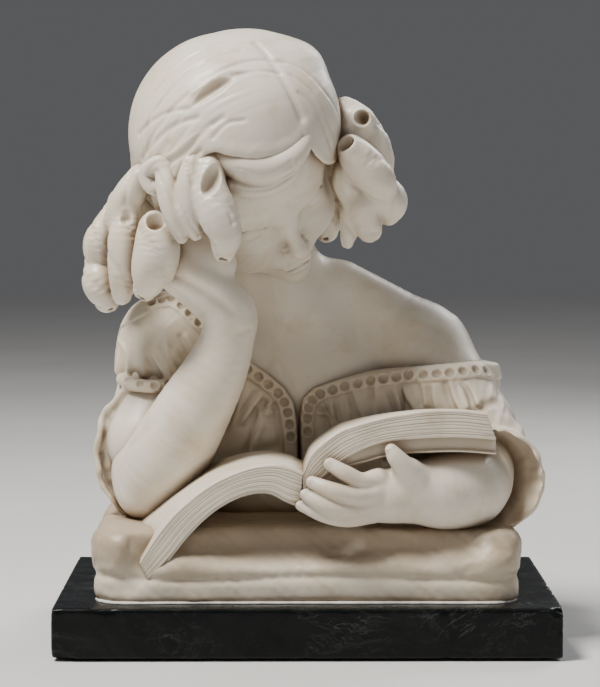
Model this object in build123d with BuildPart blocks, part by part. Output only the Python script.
"""Marble bust of a reading child on a black marble plinth.

Frame: origin under the middle of the plinth, on the surface that the felt pads stand on, +Z up.
The child faces -Y, and +X is the child's left-hand side. All sizes are in millimetres.
"""

from build123d import *
import math
import os

# Plinth, pads and fixings
PLINTH_LENGTH = 400
PLINTH_DEPTH = 280
PLINTH_HEIGHT = 40
PLINTH_ARRIS = 1.5
PAD_HEIGHT = 2
PAD_RADIUS = 12
PAD_INSET = 22
BEDDING_HEIGHT = 1
BEDDING_INSET = 7
STUD_RADIUS = 6
STUD_LENGTH = 88
STUD_Y = 25
STUD_RISE = 2.5
STUD_END_CHAMFER = 1
CLEARANCE_RADIUS = 7
RECESS_RADIUS = 17
RECESS_DEPTH = 16
WASHER_RADIUS = 12
WASHER_HEIGHT = 2.5
WASHER_BORE_RADIUS = 6.5
NUT_ACROSS_FLATS = 18
NUT_HEIGHT = 10
NUT_BORE_RADIUS = 6.02
NUT_CHAMFER = 1.2
RESIN_RADIUS = 8
SOCKET_DEPTH = 52

# Cushion
CUSHION_LENGTH = 336
CUSHION_DEPTH = 238
CUSHION_CORNER = 26
CUSHION_LOWER_HEIGHT = 20
CUSHION_UPPER_HEIGHT = 35
CUSHION_LOWER_ROUND = 8
CUSHION_UPPER_ROUND = 15

# Figure: the trunk is lofted through ellipses, each (height above cushion, x, y, half width, half depth)
TRUNK_SECTIONS = (
    (0, -6, 60, 118, 50),
    (55, -6, 55, 112, 50),
    (110, -6, 52, 124, 46),
    (150, -6, 52, 122, 42),
    (185, -8, 54, 84, 34),
)
NECKLINE_HEIGHT = 116
NECK_FROM = (-8, 52, 280)
NECK_TO = (-32, 28, 336)
NECK_RADIUS = 34

# Head: its own axes are tilted from the row's by these angles, about its +Z, then +X, then -Y
HEAD_CENTRE = (-56, -22, 402)
HEAD_TURN = 22
HEAD_NOD = 46
HEAD_LEAN = 14
SKULL_RADIUS = 70
CHIN_RADIUS = 24
CHIN_FORWARD = 46
CHIN_DOWN = 106
HAIR_RADIUS = 88
HAIR_HALF_LENGTH = 98
HAIRLINE_FORWARD = 34

# Arms and hands: (start, end, start radius, end radius)
RIGHT_UPPER_ARM = ((-112, 40, 240), (-136, -8, 142), 36, 36)
RIGHT_FOREARM = ((-126, -34, 131), (-66, -50, 262), 36, 22)
RIGHT_HAND = ((-66, -50, 272), (-106, -30, 304), 22, 17)
LEFT_UPPER_ARM = ((104, 42, 236), (150, -20, 150), 38, 38)
LEFT_FOREARM = ((136, -62, 126), (74, -84, 122), 30, 22)
LEFT_HAND = ((64, -92, 122), (16, -112, 118), 20, 12)
LEFT_THUMB = ((70, -96, 132), (62, -106, 154), 8.5, 6.5)
LEFT_FINGERS = (
    ((38, -110, 134), (16, -116, 146), 7, 6),
    ((32, -116, 122), (4, -120, 134), 7.5, 6),
    ((28, -116, 111), (-4, -120, 121), 7.5, 6),
    ((26, -112, 107), (-8, -116, 112), 7, 5),
)

# Sleeves: a puff over the upper arm and a flounce that opens over the forearm
RIGHT_PUFF = ((-114, 42, 238), (-132, 8, 178), 44, 42)
RIGHT_FLOUNCE = ((-134, 2, 192), (-142, -14, 120), 40, 46)
LEFT_PUFF = ((104, 36, 214), (134, 2, 178), 42, 42)
LEFT_FLOUNCE = ((142, -14, 168), (150, -34, 124), 42, 42)

# Book: each half's front edge lies between an upper and a lower arc, (x, z) from the gutter outwards
BOOK_FRONT_Y = -117
BOOK_DEPTH = 86
LEFT_LEAVES_UPPER = ((-3, 151), (-62, 144), (-131, 77))
LEFT_LEAVES_LOWER = ((-3, 127), (-56, 124), (-125, 66))
RIGHT_LEAVES_UPPER = ((-3, 151), (50, 187), (148, 194))
RIGHT_LEAVES_LOWER = ((-3, 127), (52, 166), (151, 172))
COVER_SETBACK = 7
COVER_LEFT_LOWER = ((-3, 123), (-55, 120), (-121, 65))
COVER_RIGHT_LOWER = ((-3, 123), (58, 154), (149, 160))

# Curls: (start, end, start radius, end radius)
RIGHT_CURLS = (
    ((-78, -86, 386), (-66, -92, 326), 16, 11),
    ((-98, -76, 380), (-94, -84, 338), 13, 10),
    ((-124, -60, 350), (-124, -62, 296), 18, 13),
    ((-146, -44, 342), (-150, -46, 292), 15, 13),
    ((-160, -24, 344), (-166, -24, 288), 14, 15),
    ((-148, 2, 350), (-154, 2, 300), 15, 13),
)
LEFT_CURLS = (
    ((38, -16, 432), (58, -10, 404), 15, 15),
    ((34, -46, 400), (62, -38, 372), 15, 14),
    ((59, -9, 379), (66, -17, 350), 17, 15.5),
    ((44, -18, 350), (40, -14, 326), 15, 13),
    ((46, 18, 396), (50, 18, 352), 16, 14),
)
FORELOCK = ((14, -92, 428), (-60, -104, 398), 13, 10)
NAPE_CURLS = (
    ((-128, 32, 366), (-132, 34, 316), 16, 13),
    ((-98, 54, 366), (-100, 58, 316), 16, 13),
    ((-62, 64, 368), (-62, 68, 318), 16, 13),
    ((-26, 60, 370), (-24, 64, 322), 16, 13),
    ((12, 46, 378), (14, 48, 334), 16, 13),
)

# Levels
PLINTH_BOTTOM = PAD_HEIGHT
PLINTH_TOP = PLINTH_BOTTOM + PLINTH_HEIGHT
CUSHION_BOTTOM = PLINTH_TOP + BEDDING_HEIGHT
CUSHION_SEAM = CUSHION_BOTTOM + CUSHION_LOWER_HEIGHT
CUSHION_TOP = CUSHION_SEAM + CUSHION_UPPER_HEIGHT
RECESS_ROOF = PLINTH_BOTTOM + RECESS_DEPTH
SOCKET_TOP = CUSHION_BOTTOM + SOCKET_DEPTH - 2


def limb(start, end, start_radius, end_radius):
    """A tapering round limb with a ball at each end, revolved about the line between them."""
    along = Vector(*end) - Vector(*start)
    length = along.length
    along = along.normalized()
    side = Plane(origin=start, z_dir=along).x_dir
    slope = math.asin((start_radius - end_radius) / length)
    tangent = (math.cos(slope), math.sin(slope))
    with BuildPart() as made:
        with BuildSketch(Plane(origin=start, x_dir=side, z_dir=side.cross(along))):
            with BuildLine():
                CenterArc((0, 0), start_radius, -90, 90 + math.degrees(slope))
                Line(
                    (start_radius * tangent[0], start_radius * tangent[1]),
                    (end_radius * tangent[0], length + end_radius * tangent[1]),
                )
                CenterArc((0, length), end_radius, math.degrees(slope), 90 - math.degrees(slope))
                Line((0, length + end_radius), (0, -start_radius))
            make_face()
        revolve(axis=Axis(start, along))
    return made.part


def head_direction(x, y, z):
    """A direction in the head's own axes, in the row's axes."""
    return (
        Vector(x, y, z)
        .rotate(Axis.Z, HEAD_TURN)
        .rotate(Axis.X, HEAD_NOD)
        .rotate(Axis.Y, -HEAD_LEAN)
    )


def head_point(x, y, z):
    """A point in the head's own axes, in the row's frame."""
    return Vector(*HEAD_CENTRE) + head_direction(x, y, z)


def save(part, name):
    """Labels a finished piece and writes its STEP file, whose name is the node's name."""
    part.label = name
    export_step(part, f"parts/{name}.step")


os.makedirs("parts", exist_ok=True)

# Plinth: a slab with a fine arris, bored for the stud and recessed below for its nut
with BuildPart() as plinth:
    with BuildSketch(Plane.XY.offset(PLINTH_BOTTOM)):
        Rectangle(PLINTH_LENGTH, PLINTH_DEPTH)
    extrude(amount=PLINTH_HEIGHT)
    chamfer(plinth.edges(), PLINTH_ARRIS)
    with BuildSketch(Plane.XY.offset(PLINTH_BOTTOM)):
        with Locations((0, STUD_Y)):
            Circle(CLEARANCE_RADIUS)
    extrude(amount=PLINTH_HEIGHT, mode=Mode.SUBTRACT)
    with BuildSketch(Plane.XY.offset(PLINTH_BOTTOM)):
        with Locations((0, STUD_Y)):
            Circle(RECESS_RADIUS)
    extrude(amount=RECESS_DEPTH, mode=Mode.SUBTRACT)
save(plinth.part, "plinth")

# Felt pads: four discs near the plinth's corners
with BuildPart() as felt_pads:
    with BuildSketch():
        with GridLocations(PLINTH_LENGTH - 2 * PAD_INSET, PLINTH_DEPTH - 2 * PAD_INSET, 2, 2):
            Circle(PAD_RADIUS)
    extrude(amount=PAD_HEIGHT)
save(felt_pads.part, "felt_pads")

# Bedding: the thin plaster bed between the plinth and the carving
with BuildPart() as bedding:
    with BuildSketch(Plane.XY.offset(PLINTH_TOP)):
        RectangleRounded(
            CUSHION_LENGTH - 2 * BEDDING_INSET,
            CUSHION_DEPTH - 2 * BEDDING_INSET,
            CUSHION_CORNER - BEDDING_INSET,
        )
        with Locations((0, STUD_Y)):
            Circle(RESIN_RADIUS, mode=Mode.SUBTRACT)
    extrude(amount=BEDDING_HEIGHT)
save(bedding.part, "plaster_bedding")

# Fixing stud: a threaded rod from the nut's recess up into the carving
with BuildPart() as stud:
    with BuildSketch(Plane.XY.offset(PLINTH_BOTTOM + STUD_RISE)):
        with Locations((0, STUD_Y)):
            Circle(STUD_RADIUS)
    extrude(amount=STUD_LENGTH)
    chamfer(stud.edges().filter_by(GeomType.CIRCLE), STUD_END_CHAMFER)
save(stud.part, "fixing_stud")

# Resin: the sleeve that bonds the stud in its socket, closed above the stud's end
with BuildPart() as resin:
    with BuildSketch(Plane.XY.offset(PLINTH_TOP)):
        with Locations((0, STUD_Y)):
            Circle(RESIN_RADIUS)
    extrude(amount=SOCKET_TOP - PLINTH_TOP)
    add(stud.part, mode=Mode.SUBTRACT)
save(resin.part, "stud_resin")

# Washer and nut: drawn up against the recess's roof
with BuildPart() as washer:
    with BuildSketch(Plane.XY.offset(RECESS_ROOF)):
        with Locations((0, STUD_Y)):
            Circle(WASHER_RADIUS)
            Circle(WASHER_BORE_RADIUS, mode=Mode.SUBTRACT)
    extrude(amount=-WASHER_HEIGHT)
save(washer.part, "washer")

with BuildPart() as nut:
    with BuildSketch(Plane.XY.offset(RECESS_ROOF - WASHER_HEIGHT)):
        with Locations((0, STUD_Y)):
            RegularPolygon(NUT_ACROSS_FLATS / 2, 6, major_radius=False)
            Circle(NUT_BORE_RADIUS, mode=Mode.SUBTRACT)
    extrude(amount=-NUT_HEIGHT)
    with BuildSketch(Plane.XY.offset(RECESS_ROOF - WASHER_HEIGHT)):
        with Locations((0, STUD_Y)):
            Circle(NUT_ACROSS_FLATS / 2 + NUT_CHAMFER / 2)
    extrude(amount=-NUT_HEIGHT, mode=Mode.INTERSECT)
save(nut.part, "nut")

# Book: each half is the shape between two arcs, carried back from its front edge
def book_half(upper, lower, front_y, depth):
    """The solid between an upper and a lower arc, from front_y back by depth."""
    with BuildPart() as made:
        with BuildSketch(Plane.XZ.offset(-front_y)):
            with BuildLine():
                ThreePointArc(*upper)
                Line(upper[-1], lower[-1])
                ThreePointArc(*lower)
                Line(lower[0], upper[0])
            make_face()
        extrude(amount=-depth)
    return made.part


leaves_left = book_half(LEFT_LEAVES_UPPER, LEFT_LEAVES_LOWER, BOOK_FRONT_Y, BOOK_DEPTH)
leaves_right = book_half(RIGHT_LEAVES_UPPER, RIGHT_LEAVES_LOWER, BOOK_FRONT_Y, BOOK_DEPTH)
cover_front = BOOK_FRONT_Y + COVER_SETBACK
cover_depth = BOOK_DEPTH - COVER_SETBACK
cover_left = book_half(LEFT_LEAVES_LOWER, COVER_LEFT_LOWER, cover_front, cover_depth)
cover_right = book_half(RIGHT_LEAVES_LOWER, COVER_RIGHT_LOWER, cover_front, cover_depth)

# Cushion: a lower and an upper pillow with a seam between them
with BuildPart() as cushion_lower:
    with BuildSketch(Plane.XY.offset(CUSHION_BOTTOM)):
        RectangleRounded(CUSHION_LENGTH, CUSHION_DEPTH, CUSHION_CORNER)
    extrude(amount=CUSHION_LOWER_HEIGHT)
    fillet(cushion_lower.faces().filter_by(Axis.Z).edges(), CUSHION_LOWER_ROUND)
    with BuildSketch(Plane.XY.offset(CUSHION_BOTTOM)):
        with Locations((0, STUD_Y)):
            Circle(RESIN_RADIUS)
    extrude(amount=CUSHION_LOWER_HEIGHT, mode=Mode.SUBTRACT)
save(cushion_lower.part, "cushion_lower")

with BuildPart() as cushion_upper:
    with BuildSketch(Plane.XY.offset(CUSHION_SEAM)):
        RectangleRounded(CUSHION_LENGTH, CUSHION_DEPTH, CUSHION_CORNER)
    extrude(amount=CUSHION_UPPER_HEIGHT)
    fillet(cushion_upper.faces().filter_by(Axis.Z).edges(), CUSHION_UPPER_ROUND)
    with BuildSketch(Plane.XY.offset(CUSHION_SEAM)):
        with Locations((0, STUD_Y)):
            Circle(RESIN_RADIUS)
    extrude(amount=SOCKET_TOP - CUSHION_SEAM, mode=Mode.SUBTRACT)
    add([leaves_left, cover_left], mode=Mode.SUBTRACT)
save(cushion_upper.part, "cushion_upper")

# Head: a skull ball drawn out to the chin
head_mass = limb(
    HEAD_CENTRE, tuple(head_point(0, -CHIN_FORWARD, -CHIN_DOWN)), SKULL_RADIUS, CHIN_RADIUS
)

# Trunk: one loft, parted at the neckline into the dressed bodice and the bare chest
with BuildPart() as trunk:
    for height, x, y, half_width, half_depth in TRUNK_SECTIONS:
        with BuildSketch(Plane((x, y, CUSHION_TOP + height))):
            Ellipse(half_width, half_depth)
    loft()

with BuildPart() as bodice:
    add(trunk.part)
    split(bisect_by=Plane.XY.offset(CUSHION_TOP + NECKLINE_HEIGHT), keep=Keep.BOTTOM)
save(bodice.part, "bodice")

with BuildPart() as torso:
    add(trunk.part)
    split(bisect_by=Plane.XY.offset(CUSHION_TOP + NECKLINE_HEIGHT), keep=Keep.TOP)
    add(limb(NECK_FROM, NECK_TO, NECK_RADIUS, NECK_RADIUS - 1))
    add(head_mass, mode=Mode.SUBTRACT)
save(torso.part, "torso")

with BuildPart() as head:
    add(head_mass)
save(head.part, "head")

# Hair: a round mass over the skull, open below its hairline
hair_overhang = HAIR_HALF_LENGTH - HAIR_RADIUS
hair_mass = limb(
    tuple(head_point(0, hair_overhang, 0)),
    tuple(head_point(0, -hair_overhang, 0)),
    HAIR_RADIUS,
    HAIR_RADIUS,
)

with BuildPart() as hair:
    add(hair_mass)
    hairline = Plane(
        tuple(head_point(0, -HAIRLINE_FORWARD, -HAIRLINE_FORWARD)),
        z_dir=head_direction(0, -1, -1),
    )
    split(bisect_by=hairline, keep=Keep.BOTTOM)
    add(head_mass, mode=Mode.SUBTRACT)
    add(torso.part, mode=Mode.SUBTRACT)
save(hair.part, "hair")

# Arms: cut flat where they rest on the cushion
cushion_plane = Plane.XY.offset(CUSHION_TOP)

with BuildPart() as right_arm:
    add(limb(*RIGHT_UPPER_ARM))
    add(limb(*RIGHT_FOREARM))
    add([torso.part, bodice.part, head_mass], mode=Mode.SUBTRACT)
    split(bisect_by=cushion_plane, keep=Keep.TOP)
save(right_arm.part, "right_arm")

with BuildPart() as left_arm:
    add(limb(*LEFT_UPPER_ARM))
    add(limb(*LEFT_FOREARM))
    add([torso.part, bodice.part], mode=Mode.SUBTRACT)
    split(bisect_by=cushion_plane, keep=Keep.TOP)
save(left_arm.part, "left_arm")

# Hands: the right one carries the head, and the left one holds the book's edge
with BuildPart() as right_hand:
    add(limb(*RIGHT_HAND))
    add([right_arm.part, head_mass, hair.part], mode=Mode.SUBTRACT)
save(right_hand.part, "right_hand")

with BuildPart() as left_hand:
    add(limb(*LEFT_HAND))
    add(limb(*LEFT_THUMB))
    for finger in LEFT_FINGERS:
        add(limb(*finger))
    add([left_arm.part, leaves_right, cover_right, leaves_left, cover_left], mode=Mode.SUBTRACT)
save(left_hand.part, "left_hand")

# Book: leaves and covers, clear of the arm that rests on them
with BuildPart() as book_leaves_left:
    add(leaves_left)
    add(right_arm.part, mode=Mode.SUBTRACT)
save(book_leaves_left.part, "book_leaves_left")

with BuildPart() as book_leaves_right:
    add(leaves_right)
    add(left_arm.part, mode=Mode.SUBTRACT)
save(book_leaves_right.part, "book_leaves_right")

with BuildPart() as book_cover:
    add([cover_left, cover_right])
    add([right_arm.part, left_arm.part], mode=Mode.SUBTRACT)
save(book_cover.part, "book_cover")


# Sleeves: a puff and a flounce around each arm
def sleeve(puff, flounce, neighbours):
    """A puff and its flounce, cut flat on the cushion and clear of the neighbours."""
    with BuildPart() as made:
        add(limb(*puff))
        add(limb(*flounce))
        add(neighbours, mode=Mode.SUBTRACT)
        split(bisect_by=cushion_plane, keep=Keep.TOP)
    return made.part


right_sleeve = sleeve(
    RIGHT_PUFF,
    RIGHT_FLOUNCE,
    [torso.part, bodice.part, right_arm.part, leaves_left, cover_left],
)
save(right_sleeve, "right_sleeve")

left_sleeve = sleeve(
    LEFT_PUFF,
    LEFT_FLOUNCE,
    [torso.part, bodice.part, left_arm.part, leaves_right, cover_right],
)
save(left_sleeve, "left_sleeve")


# Curls: fat ringlets grouped by where they hang, each one a solid of its own
def curl_group(rolls, neighbours):
    """The ringlets of one group, each clear of the neighbours and of the ones before it."""
    cut_rolls = []
    for roll in rolls:
        with BuildPart() as ringlet:
            add(limb(*roll))
            add(neighbours, mode=Mode.SUBTRACT)
            if cut_rolls:
                add(cut_rolls, mode=Mode.SUBTRACT)
        cut_rolls.append(ringlet.part)
    return Compound(children=cut_rolls)


forelock = curl_group([FORELOCK], [head_mass, hair.part])
save(forelock, "forelock")

right_temple_curls = curl_group(RIGHT_CURLS, [head_mass, hair_mass, right_hand.part])
save(right_temple_curls, "right_temple_curls")

left_temple_curls = curl_group(LEFT_CURLS, [head_mass, hair.part])
save(left_temple_curls, "left_temple_curls")

nape_curls = curl_group(NAPE_CURLS, [head_mass, hair_mass, torso.part])
save(nape_curls, "nape_curls")
